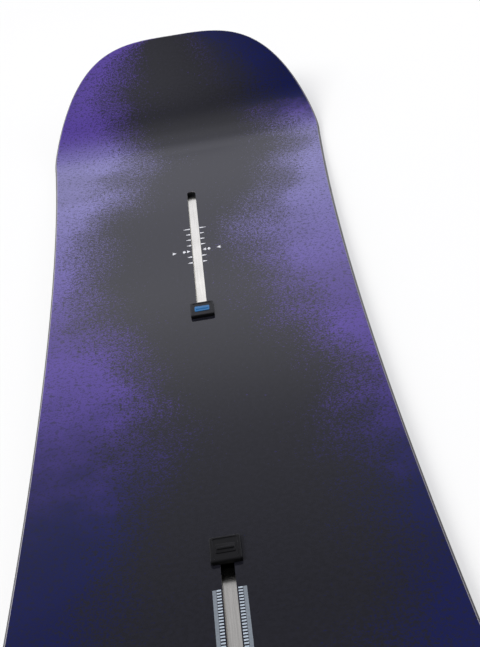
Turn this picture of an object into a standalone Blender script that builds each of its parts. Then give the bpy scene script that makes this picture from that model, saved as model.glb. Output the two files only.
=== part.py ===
"""Snowboard with a T-slot binding channel under each foot: a flat-cut laminate pressed to shape.

Metres, +Z up. X runs across the board, +Y points to the nose, and the origin is on the floor under
the middle of the board. Each laminate piece is laid out flat as (x, s, n): x across, s along the base
from the middle, n above the base. press() then bends it to the camber and the tip kicks, as the
moulding press does. Neighbouring pieces stay one bond line apart.
"""

import math

import bmesh
import bpy
from mathutils import Vector

# Plan outline, measured on the flat base
FLAT_LENGTH = 1.580
WAIST_WIDTH = 0.254
SIDECUT_RADIUS = 7.9
TIP_LENGTH = 0.214
TIP_SHOULDER = 1.5
TIP_BLUNTNESS = 3.33

# Side profile of the pressed board
CAMBER_HEIGHT = 0.0025
CONTACT_FLAT = 0.005
KICK_LEAD = 0.026
KICK_RADIUS = 0.360

# Laminate, from the base up
BOND = 0.00015
BASE_THICK = 0.0013
FLANGE_THICK = 0.0006
DAMPER_THICK = 0.00025
GLASS_THICK = 0.0006
CORE_THICK = 0.0050
TIP_CORE_THICK = 0.0018
TOPSHEET_THICK = 0.0006

# Where the core ends, short of the tip curve, and how far it thins before that
CORE_SETBACK = 0.016
CORE_TAPER = 0.220

# Steel edge with its toothed flange
EDGE_WIDTH = 0.0020
FLANGE_WIDTH = 0.0050
FLANGE_ROOT = 0.0010
TOOTH_PITCH = 0.0400
TOOTH_GAP = 0.0120
TOOTH_FLANK = 0.0010
EDGE_PROUD = 0.0003

# Sidewall and rubber foil
SIDEWALL_WIDTH = 0.010
SIDEWALL_SLANT = math.radians(10)
CHAMFER = 0.0018
DAMPER_INSET = 0.0006

# Wood core strips
STRIPS_PER_SIDE = 5

# Binding channel, measured from the middle of the board and in from the end of the core
PLUG_CENTRE = 0.157
CHANNEL_SETBACK = 0.1305
SLOT_WIDTH = 0.0082
CAVITY_WIDTH = 0.0150
RAIL_WALL = 0.00135
RAIL_FLOOR = 0.0008
RAIL_LIP = 0.0012
CAP_LENGTH = 0.0080
ENTRY_EASE = 0.0003
ENTRY_LENGTH = 0.0160
ENTRY_CORNER = 0.0015

# Rubber plug over the channel's entry
PLUG_CLEARANCE = 0.0003
PAD_SIDE_LIP = 0.0017
PAD_END_LIP = 0.00375
PAD_THICK = 0.0024
PAD_BEVEL = 0.0008
PAD_CORNER = 0.0016
SHANK_FLOOR_GAP = 0.0016
SHANK_LEAD = 0.0006
GRIP_WIDTH = 0.0105
GRIP_LENGTH = 0.0024
GRIP_HEIGHT = 0.0005

# How finely curves are divided
SIDE_STEPS = 28
KICK_STEPS = 3
TIP_STEPS = 28
LAST_TIP_SHARE = 0.9995
MIN_STEP = 0.002
ARC_STEPS = 10
CORNER_STEPS = 3
SHARP_ANGLE = math.radians(25)

# Places along the board that follow from its length
HALF_LENGTH = FLAT_LENGTH / 2
SIDECUT_HALF = HALF_LENGTH - TIP_LENGTH
KICK_START = SIDECUT_HALF - KICK_LEAD
CAMBER_HALF = KICK_START - CONTACT_FLAT
CORE_HALF = SIDECUT_HALF - CORE_SETBACK
SLOT_END = CORE_HALF - CHANNEL_SETBACK
RAIL_END = SLOT_END - SLOT_WIDTH / 2
ENTRY_START = PLUG_CENTRE - ENTRY_LENGTH / 2

# Heights above the base that follow from the stack
EDGE_HEIGHT = BASE_THICK + BOND + FLANGE_THICK
DAMPER_LOW = EDGE_HEIGHT + BOND
DAMPER_HIGH = DAMPER_LOW + DAMPER_THICK
LOWER_GLASS_LOW = DAMPER_HIGH + BOND
CORE_LOW = LOWER_GLASS_LOW + GLASS_THICK + BOND
RAIL_FLOOR_HIGH = CORE_LOW + RAIL_FLOOR

# Widths that follow from the rail and the waist
RAIL_HALF = CAVITY_WIDTH / 2 + RAIL_WALL
CENTRE_STRIP_HALF = RAIL_HALF + BOND
STRIP_WIDTH = (WAIST_WIDTH / 2 - SIDEWALL_WIDTH - CENTRE_STRIP_HALF) / STRIPS_PER_SIDE
ENTRY_WIDTH = CAVITY_WIDTH + 2 * ENTRY_EASE
PAD_WIDTH = ENTRY_WIDTH + 2 * PAD_SIDE_LIP
PAD_LENGTH = ENTRY_LENGTH + 2 * PAD_END_LIP

SIDES = (("left", -1), ("right", 1))
FEET = (("front", 1), ("rear", -1))
ENDS = (("nose", 1), ("tail", -1))


# Flat outline and press

def half_width(s):
    """Half the board's width at s: the sidecut arc, drawn in past its end by a rounded tip."""
    share = min(max((abs(s) - SIDECUT_HALF) / TIP_LENGTH, 0.0), LAST_TIP_SHARE)
    sidecut = WAIST_WIDTH / 2 + s * s / (2 * SIDECUT_RADIUS)
    return sidecut * (1 - share**TIP_SHOULDER) ** (1 / TIP_BLUNTNESS)


def inset_point(s, inset):
    """(x, s) on the line that runs inset inside the right-hand outline, level with s beside the sidecut."""
    step = 1e-6
    slope = (half_width(s + step) - half_width(s - step)) / (2 * step)
    length = math.hypot(1, slope)
    if abs(s) <= SIDECUT_HALF:
        return half_width(s) - inset * length, s
    return half_width(s) - inset / length, s + inset * slope / length


def core_thickness(s):
    """Core thickness at s: even underfoot, then eased down to the tip spacers."""
    share = min(max((abs(s) - CORE_HALF + CORE_TAPER) / CORE_TAPER, 0.0), 1.0)
    ease = share * share * (3 - 2 * share)
    return CORE_THICK + (TIP_CORE_THICK - CORE_THICK) * ease


def core_high(s):
    return CORE_LOW + core_thickness(s)


def upper_glass_low(s):
    return core_high(s) + BOND


def topsheet_low(s):
    return upper_glass_low(s) + GLASS_THICK + BOND


def top_height(s):
    return topsheet_low(s) + TOPSHEET_THICK


def side_inset(s, n):
    """How far the board's slanted and chamfered side lies inside the steel edge at height n."""
    chamfer_low = top_height(s) - CHAMFER
    slanted = (min(n, chamfer_low) - EDGE_HEIGHT) * math.tan(SIDEWALL_SLANT)
    return EDGE_PROUD + slanted + max(n - chamfer_low, 0.0)


def press(x, s, n):
    """The place of a flat point once the board is pressed: camber between the contacts, a round kick past."""
    along = abs(s)
    if along > KICK_START:
        tilt = (along - KICK_START) / KICK_RADIUS
        y = KICK_START + (KICK_RADIUS - n) * math.sin(tilt)
        z = KICK_RADIUS - (KICK_RADIUS - n) * math.cos(tilt)
    else:
        share = min(along / CAMBER_HALF, 1.0)
        y = along
        z = n + CAMBER_HEIGHT * (1 - share**2) ** 2
    return Vector((x, math.copysign(y, s), z))


def tip_stations():
    """Places past the sidecut to the end of the nose, closer together where the outline turns in."""
    shares = [min(math.sin(math.pi / 2 * i / TIP_STEPS), LAST_TIP_SHARE) for i in range(1, TIP_STEPS + 1)]
    return [SIDECUT_HALF + TIP_LENGTH * share for share in shares]


def board_stations():
    """The places along the board that every piece shares: even steps, then finer ones through each kick."""
    side = [KICK_START * (2 * i / SIDE_STEPS - 1) for i in range(SIDE_STEPS + 1)]
    kick = [KICK_START + KICK_LEAD * i / KICK_STEPS for i in range(1, KICK_STEPS + 1)]
    nose = kick + tip_stations()
    return [-s for s in reversed(nose)] + side + nose


def stations_between(start, end):
    """The ends of a shorter piece with the shared stations between, so that it lies as its neighbours do."""
    shared = [s for s in board_stations() if start + MIN_STEP < s < end - MIN_STEP]
    return [start] + shared + [end]


def core_stations():
    return stations_between(-CORE_HALF, CORE_HALF)


def end_stations(start):
    """From start, past the core, to the end of the nose."""
    return [start] + [s for s in board_stations() if s > start + MIN_STEP]


# Mesh tools

def collection(name):
    made = bpy.data.collections.new(name)
    bpy.context.scene.collection.children.link(made)
    return made


def finish(name, colour, roughness, metallic=0.0):
    material = bpy.data.materials.new(name)
    material.use_nodes = True
    shader = material.node_tree.nodes["Principled BSDF"]
    shader.inputs["Base Color"].default_value = (*colour, 1.0)
    shader.inputs["Roughness"].default_value = roughness
    shader.inputs["Metallic"].default_value = metallic
    return material


def loft(name, rings, material, into):
    """A closed solid through rings of equal point count, capped at the first and last ring."""
    mesh = bpy.data.meshes.new(name)
    bm = bmesh.new()
    loops = [[bm.verts.new(point) for point in ring] for ring in rings]
    count = len(loops[0])
    for near, far in zip(loops, loops[1:]):
        for i in range(count):
            bm.faces.new((near[i], near[(i + 1) % count], far[(i + 1) % count], far[i]))
    bm.faces.new(loops[0])
    bm.faces.new(loops[-1])
    bmesh.ops.recalc_face_normals(bm, faces=bm.faces)
    bm.to_mesh(mesh)
    bm.free()
    mesh.shade_smooth()
    mesh.set_sharp_from_angle(angle=SHARP_ANGLE)
    made = bpy.data.objects.new(name, mesh)
    made.data.materials.append(material)
    into.objects.link(made)
    return made


def sheet(name, stations, section, material, into):
    """A piece that spans the board: section(s) gives its right side, bottom to top, as (x, s, n)."""
    rings = []
    for s in stations:
        right = section(s)
        left = [(-x, along, n) for x, along, n in reversed(right)]
        rings.append([press(*point) for point in right + left])
    return loft(name, rings, material, into)


def strip(name, side, stations, section, material, into):
    """A piece that runs along one side of the board: section(s) gives its outline there, as (x, s, n)."""
    rings = [[press(side * x, along, n) for x, along, n in section(s)] for s in stations]
    return loft(name, rings, material, into)


def rounded_rectangle(width, length, corner, z):
    """Points of a rectangle with round corners at height z, about its own centre."""
    points = []
    for quarter, (sx, sy) in enumerate(((1, 1), (-1, 1), (-1, -1), (1, -1))):
        for i in range(CORNER_STEPS + 1):
            angle = math.pi / 2 * (quarter + i / CORNER_STEPS)
            x = sx * (width / 2 - corner) + corner * math.cos(angle)
            y = sy * (length / 2 - corner) + corner * math.sin(angle)
            points.append(Vector((x, y, z)))
    return points


def cutter(made):
    made.hide_render = True
    made.display_type = "WIRE"
    return made


def boolean(target, other, operation):
    modifier = target.modifiers.new(other.name, "BOOLEAN")
    modifier.operation = operation
    modifier.object = other


# Base, steel edges and lower laminate

def base_sheets(into):
    """Running base between the ends of the core, and a piece under each kicked tip."""
    material = finish("base_polyethylene", (0.03, 0.03, 0.035), 0.35)
    inset = EDGE_WIDTH + BOND

    def section(s):
        return [(*inset_point(s, inset), n) for n in (0.0, BASE_THICK)]

    sheet("base_running", core_stations(), section, material, into)
    for name, end in ENDS:
        sheet(f"base_{name}", [end * s for s in end_stations(CORE_HALF + BOND)], section, material, into)


def tooth_pitch():
    """The pitch nearest to TOOTH_PITCH that divides the running edge evenly."""
    return 2 * SIDECUT_HALF / round(2 * SIDECUT_HALF / TOOTH_PITCH)


def flange_width(s):
    """Width of the running edge's flange at s: full along a tooth, down to the root in the gaps."""
    along = (s + SIDECUT_HALF) % tooth_pitch()
    past_gap = min(along, tooth_pitch() - along) - TOOTH_GAP / 2
    rise = min(max(past_gap / TOOTH_FLANK, 0.0), 1.0)
    return FLANGE_ROOT + (FLANGE_WIDTH - FLANGE_ROOT) * rise


def running_edge_stations():
    """Both corners of every flank, with the shared stations of the kicks."""
    pitch = tooth_pitch()
    half_gap = TOOTH_GAP / 2
    corners = (half_gap, half_gap + TOOTH_FLANK, pitch - half_gap - TOOTH_FLANK, pitch - half_gap)
    teeth = round(2 * SIDECUT_HALF / pitch)
    places = [-SIDECUT_HALF + tooth * pitch + corner for tooth in range(teeth) for corner in corners]
    kicks = [s for s in board_stations() if KICK_START <= abs(s) <= SIDECUT_HALF]
    return sorted(places + kicks)


def edge_section(s, flange):
    """Outline of the steel edge at s: a square runner with a thin flange that lies on the base."""
    flange_low = BASE_THICK + BOND
    inner = EDGE_WIDTH + flange
    profile = ((0, 0), (EDGE_WIDTH, 0), (EDGE_WIDTH, flange_low), (inner, flange_low), (inner, EDGE_HEIGHT),
               (0, EDGE_HEIGHT))
    return [(*inset_point(s, inset), n) for inset, n in profile]


def steel_edges(into):
    """Running edges with toothed flanges, and an edge bent round each tip, butted to them."""
    material = finish("edge_steel", (0.55, 0.55, 0.56), 0.3, 1.0)
    for name, side in SIDES:
        strip(f"steel_edge_{name}", side, running_edge_stations(), lambda s: edge_section(s, flange_width(s)),
              material, into)
    for name, end in ENDS:
        right = [edge_section(end * s, FLANGE_WIDTH) for s in end_stations(SIDECUT_HALF + BOND)]
        left = [[(-x, s, n) for x, s, n in ring] for ring in reversed(right)]
        loft(f"steel_edge_{name}", [[press(*point) for point in ring] for ring in right + left], material, into)


def edge_dampers(into):
    """Rubber foil between each steel edge and the glass, along the running length."""
    material = finish("damper_rubber", (0.02, 0.02, 0.02), 0.8)
    inner = EDGE_WIDTH + FLANGE_WIDTH

    def section(s):
        outer = inset_point(s, DAMPER_INSET)
        deep = inset_point(s, inner)
        return [(*outer, DAMPER_LOW), (*deep, DAMPER_LOW), (*deep, DAMPER_HIGH), (*outer, DAMPER_HIGH)]

    for name, side in SIDES:
        strip(f"edge_damper_{name}", side, core_stations(), section, material, into)


def lower_laminate(into):
    """Glass infill between the flanges, and the glass ply that spans the board above them."""
    material = finish("lower_fibreglass", (0.55, 0.58, 0.5), 0.5)
    infill_inset = EDGE_WIDTH + FLANGE_WIDTH + BOND
    infill_low = BASE_THICK + BOND

    def infill(s):
        return [(*inset_point(s, infill_inset), n) for n in (infill_low, DAMPER_HIGH)]

    def ply(s):
        return [(*inset_point(s, side_inset(s, n)), n) for n in (LOWER_GLASS_LOW, LOWER_GLASS_LOW + GLASS_THICK)]

    sheet("lower_glass_infill", board_stations(), infill, material, into)
    sheet("lower_glass_ply", board_stations(), ply, material, into)


# Core, sidewalls and tip spacers

def side_face(s):
    """The board's outer face beside the core at s, bottom to top, as (x, s, n)."""
    heights = (CORE_LOW, top_height(s) - CHAMFER, core_high(s))
    return [(*inset_point(s, side_inset(s, n)), n) for n in heights]


def sidewalls(into):
    material = finish("sidewall_plastic", (0.10, 0.10, 0.105), 0.45)

    def section(s):
        inner = inset_point(s, SIDEWALL_WIDTH)
        return side_face(s) + [(*inner, core_high(s)), (*inner, CORE_LOW)]

    for name, side in SIDES:
        strip(f"sidewall_{name}", side, core_stations(), section, material, into)


def tip_spacers(into):
    material = finish("spacer_plastic", (0.08, 0.08, 0.085), 0.5)
    for name, end in ENDS:
        sheet(f"{name}_spacer", [end * s for s in end_stations(CORE_HALF + BOND)], side_face, material, into)


def core_strip(name, side, low_x, high_x, stations, material, into):
    """A core strip between two lines along the board, low_x(s) and high_x(s), which give (x, s)."""

    def section(s):
        inner, outer = low_x(s), high_x(s)
        return [(*inner, CORE_LOW), (*outer, CORE_LOW), (*outer, core_high(s)), (*inner, core_high(s))]

    strip(name, side, stations, section, material, into)


def straight_line(x):
    return lambda s: (x, s)


def wood_core(into):
    """Glued strips of two woods in turn. The middle strip stops at each channel."""
    pale = finish("core_poplar", (0.72, 0.56, 0.36), 0.6)
    dark = finish("core_beech", (0.55, 0.34, 0.18), 0.6)
    stations = core_stations()
    for name, side in SIDES:
        for i in range(STRIPS_PER_SIDE):
            inner = straight_line(CENTRE_STRIP_HALF + i * STRIP_WIDTH + BOND / 2)
            outer = straight_line(CENTRE_STRIP_HALF + (i + 1) * STRIP_WIDTH - BOND / 2)
            if i == STRIPS_PER_SIDE - 1:
                outer = lambda s: inset_point(s, SIDEWALL_WIDTH + BOND)
            wood = dark if i % 2 == 0 else pale
            core_strip(f"core_strip_{name}_{i + 1}", side, inner, outer, stations, wood, into)
    waist_end = ENTRY_START - CAP_LENGTH - BOND
    outer_start = SLOT_END + CAP_LENGTH + BOND
    runs = (("tail", -CORE_HALF, -outer_start), ("waist", -waist_end, waist_end), ("nose", outer_start, CORE_HALF))
    edge = straight_line(CENTRE_STRIP_HALF - BOND / 2)
    for name, start, end in runs:
        places = stations_between(start, end)
        core_strip(f"core_centre_{name}", 1, straight_line(-edge(0)[0]), edge, places, pale, into)


# Upper laminate

def upper_laminate(into, cutters):
    """Upper glass and topsheet, both cut through at the slot and the entry of each channel."""
    glass = finish("upper_fibreglass", (0.55, 0.58, 0.5), 0.5)
    print_film = finish("topsheet_print", (0.05, 0.045, 0.07), 0.25)

    def upper_ply(s):
        return [(*inset_point(s, side_inset(s, n)), n) for n in (upper_glass_low(s), upper_glass_low(s) + GLASS_THICK)]

    def skin(s):
        return [(*inset_point(s, side_inset(s, n)), n) for n in (topsheet_low(s), top_height(s))]

    for name, section, material in (("upper_glass_ply", upper_ply, glass), ("topsheet", skin, print_film)):
        made = sheet(name, board_stations(), section, material, into)
        for made_cutter in cutters:
            boolean(made, made_cutter, "DIFFERENCE")


# Binding channels

def slot_cutter(name, foot, into):
    """A straight slot with a round outer end, as deep as the rail's floor at that end."""
    low = press(0, SLOT_END, RAIL_FLOOR_HIGH).z
    high = press(0, PLUG_CENTRE, top_height(PLUG_CENTRE)).z + PAD_THICK
    radius = SLOT_WIDTH / 2
    plan = [(-radius, PLUG_CENTRE), (radius, PLUG_CENTRE)]
    for i in range(ARC_STEPS + 1):
        angle = math.pi * i / ARC_STEPS
        plan.append((radius * math.cos(angle), RAIL_END + radius * math.sin(angle)))
    rings = [[Vector((x, foot * y, z)) for x, y in plan] for z in (low, high)]
    return cutter(loft(name, rings, None, into))


def entry_cutter(name, foot, into):
    """The wide mouth at the channel's inner end, through the skin, the glass and the rail's lips."""
    middle = (RAIL_FLOOR_HIGH + core_high(PLUG_CENTRE) - RAIL_LIP) / 2
    low = press(0, PLUG_CENTRE, middle).z
    high = press(0, PLUG_CENTRE, top_height(PLUG_CENTRE)).z + PAD_THICK
    rings = [rounded_rectangle(ENTRY_WIDTH, ENTRY_LENGTH, ENTRY_CORNER, z) for z in (low, high)]
    made = cutter(loft(name, rings, None, into))
    made.location = (0, foot * PLUG_CENTRE, 0)
    return made


def channel_rail(name, foot, entry, material, into):
    """Extruded C-section rail: a floor, two walls and two lips that hold the sliding nuts down."""
    cavity, slot = CAVITY_WIDTH / 2, SLOT_WIDTH / 2

    def section(s):
        high = core_high(s)
        lip = high - RAIL_LIP
        return [(RAIL_HALF, s, CORE_LOW), (RAIL_HALF, s, high), (slot, s, high), (slot, s, lip), (cavity, s, lip),
                (cavity, s, RAIL_FLOOR_HIGH)]

    stations = [foot * s for s in stations_between(ENTRY_START, RAIL_END)]
    rail = sheet(name, stations, section, material, into)
    boolean(rail, entry, "DIFFERENCE")


def channel_caps(name, foot, slot, material, into):
    """Moulded blocks that close the rail's ends. The outer one holds the round end of the slot."""

    def section(s):
        return [(RAIL_HALF, s, CORE_LOW), (RAIL_HALF, s, core_high(s))]

    inner = [foot * s for s in (ENTRY_START - CAP_LENGTH, ENTRY_START - BOND)]
    outer = [foot * s for s in (RAIL_END + BOND, SLOT_END + CAP_LENGTH)]
    sheet(f"{name}_channel_inner_cap", inner, section, material, into)
    boolean(sheet(f"{name}_channel_outer_cap", outer, section, material, into), slot, "DIFFERENCE")


def channel_plug(name, foot, material, into, helpers):
    """Rubber plug: a bevelled pad on the topsheet with a grip bar, over a shank that fills the entry."""
    shank_width = CAVITY_WIDTH - 2 * PLUG_CLEARANCE
    shank_length = ENTRY_LENGTH - 2 * PLUG_CLEARANCE
    depth = top_height(PLUG_CENTRE) - RAIL_FLOOR_HIGH - SHANK_FLOOR_GAP
    levels = ((shank_width - 2 * SHANK_LEAD, shank_length - 2 * SHANK_LEAD, ENTRY_CORNER, -depth),
              (shank_width, shank_length, ENTRY_CORNER, -depth + SHANK_LEAD),
              (shank_width, shank_length, ENTRY_CORNER, 0.0),
              (PAD_WIDTH, PAD_LENGTH, PAD_CORNER, 0.0),
              (PAD_WIDTH, PAD_LENGTH, PAD_CORNER, PAD_THICK - PAD_BEVEL),
              (PAD_WIDTH - 2 * PAD_BEVEL, PAD_LENGTH - 2 * PAD_BEVEL, PAD_CORNER, PAD_THICK))
    plug = loft(f"{name}_channel_plug", [rounded_rectangle(*level) for level in levels], material, into)
    grip_levels = ((GRIP_WIDTH, GRIP_LENGTH, PAD_THICK - GRIP_HEIGHT),
                   (GRIP_WIDTH, GRIP_LENGTH, PAD_THICK),
                   (GRIP_WIDTH - GRIP_HEIGHT, GRIP_LENGTH - GRIP_HEIGHT, PAD_THICK + GRIP_HEIGHT))
    rings = [rounded_rectangle(width, length, GRIP_HEIGHT, z) for width, length, z in grip_levels]
    grip = cutter(loft(f"{name}_grip", rings, None, helpers))
    boolean(plug, grip, "UNION")
    highest = press(0, PLUG_CENTRE - PAD_LENGTH / 2, top_height(PLUG_CENTRE)).z
    for made in (plug, grip):
        made.location = (0, foot * PLUG_CENTRE, highest + PLUG_CLEARANCE)


def binding_channels(into, helpers):
    """Both channels, front and rear. Returns the cutters that open the upper laminate above them."""
    aluminium = finish("rail_aluminium", (0.72, 0.72, 0.71), 0.3, 1.0)
    nylon = finish("cap_nylon", (0.02, 0.02, 0.02), 0.5)
    rubber = finish("plug_rubber", (0.03, 0.03, 0.032), 0.6)
    cutters = []
    for name, foot in FEET:
        slot = slot_cutter(f"{name}_slot", foot, helpers)
        entry = entry_cutter(f"{name}_entry", foot, helpers)
        channel_rail(f"{name}_channel_rail", foot, entry, aluminium, into)
        channel_caps(name, foot, slot, nylon, into)
        channel_plug(name, foot, rubber, into, helpers)
        cutters += [slot, entry]
    return cutters


def main():
    for old in list(bpy.data.objects):
        bpy.data.objects.remove(old)
    board = collection("snowboard")
    helpers = collection("cutters")
    base_sheets(board)
    steel_edges(board)
    edge_dampers(board)
    lower_laminate(board)
    sidewalls(board)
    tip_spacers(board)
    wood_core(board)
    cutters = binding_channels(board, helpers)
    upper_laminate(board, cutters)


main()
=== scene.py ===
"""Looks of a snowboard with two binding channels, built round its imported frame.

Every laminate piece is laid out flat as (x, s, n): x across the board, s along the base from the middle,
n above the base. press() then bends it to the camber and the tip kicks. Metres, +Z up, +Y to the nose.
"""

import math

import bmesh
import bpy
import numpy as np
from mathutils import Matrix


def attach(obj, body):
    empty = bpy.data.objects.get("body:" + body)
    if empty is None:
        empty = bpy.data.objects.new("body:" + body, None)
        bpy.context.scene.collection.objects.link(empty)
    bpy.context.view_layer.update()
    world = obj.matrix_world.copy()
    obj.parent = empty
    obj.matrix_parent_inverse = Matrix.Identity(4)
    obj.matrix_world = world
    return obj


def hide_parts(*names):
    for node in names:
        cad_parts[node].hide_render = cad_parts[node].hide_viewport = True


bl_info = {
    "name": "Channel snowboard",
    "version": (1, 0, 0),
    "blender": (4, 5, 0),
    "location": "View3D > Sidebar > Snowboard",
    "description": "Builds the finished surfaces of a snowboard round its packed frame",
    "category": "Object",
}

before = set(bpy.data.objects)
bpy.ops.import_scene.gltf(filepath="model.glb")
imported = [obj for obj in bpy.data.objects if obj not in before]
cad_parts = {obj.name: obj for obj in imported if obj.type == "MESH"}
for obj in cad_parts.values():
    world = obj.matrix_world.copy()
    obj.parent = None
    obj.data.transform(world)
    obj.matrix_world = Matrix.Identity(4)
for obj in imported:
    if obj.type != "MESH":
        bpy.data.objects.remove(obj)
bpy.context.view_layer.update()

# Plan outline and side profile, as the frame has them
WAIST_HALF = 0.127
SIDECUT_RADIUS = 7.9
SIDECUT_HALF = 0.576
TIP_LENGTH = 0.214
TIP_SHOULDER = 1.5
TIP_BLUNTNESS = 3.33
LAST_TIP_SHARE = 0.9995
CAMBER_HEIGHT = 0.0025
CAMBER_HALF = 0.545
KICK_START = 0.550
KICK_RADIUS = 0.360

# Laminate stack above the base
BOND = 0.00015
BASE_THICK = 0.0013
EDGE_HEIGHT = 0.00205
DAMPER_HIGH = 0.00245
LOWER_GLASS_LOW = 0.0026
GLASS_THICK = 0.0006
CORE_LOW = 0.00335
CORE_THICK = 0.0050
TIP_CORE_THICK = 0.0018
CORE_HALF = 0.560
CORE_TAPER = 0.220
TOPSHEET_THICK = 0.0006

# Steel edge, sidewall and the slanted side
EDGE_WIDTH = 0.0020
FLANGE_WIDTH = 0.0050
FLANGE_ROOT = 0.0010
TOOTH_PITCH = 0.0400
TOOTH_GAP = 0.0120
TOOTH_FLANK = 0.0010
EDGE_PROUD = 0.0003
SIDEWALL_WIDTH = 0.010
SIDEWALL_SLANT = math.radians(10)
CHAMFER = 0.0018

# Channel rail and the openings above it
PLUG_CENTRE = 0.157
ENTRY_START = 0.149
ENTRY_END = 0.165
ENTRY_HALF = 0.0078
ENTRY_CORNER = 0.0015
SLOT_HALF = 0.0041
RAIL_END = 0.4254
RAIL_HALF = 0.00885
CAVITY_HALF = 0.0075
RAIL_FLOOR_HIGH = 0.00415
RAIL_LIP = 0.0012
LIP_EASE = 0.0002
ENTRY_LEDGE = 0.00565
ENTRY_EASE = 0.00005
GROOVE_PLACE = 0.0024
GROOVE_HALF = 0.0006
GROOVE_FLAT_HALF = 0.0002
FLOOR_MIDDLE_HALF = 0.0006

# Plug: a pad on the topsheet over a shank in the entry, with a panel and a grip on the pad
PAD_WIDTH = 0.0190
PAD_LENGTH = 0.0235
PAD_THICK = 0.0024
PAD_CORNER = 0.0016
PAD_RIM = 0.0019
PAD_DISH = 0.0003
PLUG_CLEARANCE = 0.0003
SHANK_WIDTH = 0.0144
SHANK_LENGTH = 0.0154
SHANK_DEPTH = 0.0041
SHANK_LEAD = 0.0006
PANEL_WIDTH = 0.0120
PANEL_LENGTH = 0.0084
PANEL_CORNER = 0.0012
PANEL_ROUND = 0.0001
GRIP_WIDTH = 0.0105
GRIP_LENGTH = 0.0024
GRIP_HEIGHT = 0.0005
GRIP_CORNER = 0.0009
GRIP_ROUND = 0.0004
LEAST_CORNER_SHARE = 0.25

# Stance marks: half-inch ticks about the reference stance, with pointers and dots at the reference itself
STANCE = 0.2794
TICK_PITCH = 0.0127
TICK_STEPS = (4, 3, 2, 1, -1, -2)
TICK_START = 0.0046
TICK_END = 0.0084
LONG_TICK_END = 0.0104
TICK_START_HALF = 0.00150
TICK_END_HALF = 0.00040
POINTER_TIPS = (0.0055, 0.0182)
POINTER_BACKS = (0.0086, 0.0216)
POINTER_TIP_HALF = 0.0001
POINTER_BACK_HALF = 0.0028
DOT_PLACE = 0.0112
DOT_HALVES = (0.0013, 0.0026)

# Plain scale beside the rear slot: a row of ticks, and a line outside it
SCALE_START = 0.1906
SCALE_PITCH = 0.00254
SCALE_STEPS = 21
SCALE_TICK_PLACE = 0.0062
SCALE_TICK_WIDE = 0.0026
SCALE_TICK_LONG = 0.0013
SCALE_LINE_PLACE = 0.0088
SCALE_LINE_WIDE = 0.0022

# How finely the surfaces are divided, and how near two rows may lie
SIDE_ROWS = 111
KICK_ROWS = 6
TIP_ROWS = 85
OUTER_COLUMNS = 14
ARC_STEPS = 12
EDGE_STEPS = 4
CORNER_STEPS = 7
RIM_STEPS = 5
DOT_STEPS = 16
ROW_GAP = 2e-5
NEAR = 1e-6
WELD = 1e-7
SHARP_ANGLE = math.radians(28)

# Print: wavelengths of the weave to nose and tail, its swing in half widths, and the scales of the noise
SPRAY_WAVES = (0.56, 1.30)
SPRAY_SWING = 0.20
CLOUDS_PER_METRE = 9.0
RAGS_PER_METRE = 34.0
DROPS_PER_METRE = 75.0

# Camera, fitted to the photograph's 480 x 647 frame
IMAGE_HEIGHT = 647
SENSOR = 36.0
FOCAL_PIXELS = 1258.4
CAMERA_PLACE = (0.0334, -0.7510, 0.4692)
CAMERA_YAW = math.radians(-0.326)
CAMERA_PITCH = math.radians(27.565)
CAMERA_ROLL = math.radians(-9.430)
CLIP_NEAR = 0.01
CLIP_FAR = 100.0

# Studio: floor, key light, the sky's level by the sine of its angle above the floor, and the card
FLOOR_DROP = 0.0003
KEY_SPREAD = math.radians(35)
KEY_TURN = (math.radians(20), math.radians(-42), 0.0)
SKY_LEVELS = (
    (0.0, 0.91), (0.345, 0.91), (0.385, 0.98), (0.43, 0.96), (0.50, 0.70), (0.57, 0.56),
    (0.65, 0.37), (0.71, 0.37), (0.80, 0.47), (0.93, 0.95), (1.0, 1.05))
SKY_TINT = (0.98, 0.98, 1.11)
CARD_AHEAD = 1.40
CARD_HALF_WIDE = 1.5
CARD_EVEN_HALF = 0.5
CARD_LOW = 0.45
CARD_HIGH = 0.95
CARD_BRIGHT = (0.60, 0.70)
CARD_GLOW = 0.24

WHITE = (1.0, 1.0, 1.0, 1.0)
FEET = (("front", 1), ("rear", -1))
SIDES = (("left", -1), ("right", 1))
ENDS = (("nose", 1), ("tail", -1))


# Settings a user would change

def colour(name, description, default):
    return bpy.props.FloatVectorProperty(
        name=name, description=description, default=default, subtype="COLOR", size=3, min=0.0, max=1.0)


def length(name, description, default):
    return bpy.props.FloatProperty(
        name=name, description=description, default=default, subtype="DISTANCE", unit="LENGTH", min=0.0,
        precision=5)


class BoardDetail(bpy.types.PropertyGroup):
    """Sizes of the small detail that the finish adds to the frame."""

    edge_round: length("Edge rounding", "Radius of the steel edge's outer corners", 0.00022)
    pad_round: length("Pad rounding", "Radius of the plug pad's upper rim", 0.0008)
    ink_height: length("Ink height", "How far the printed marks stand above the topsheet", 0.00003)
    groove_depth: length("Groove depth", "Depth of the drawn grooves in the rail's floor", 0.00003)
    speck_size: length("Speck size", "Size of the sprayed specks where the colours meet", 0.0014)


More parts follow.
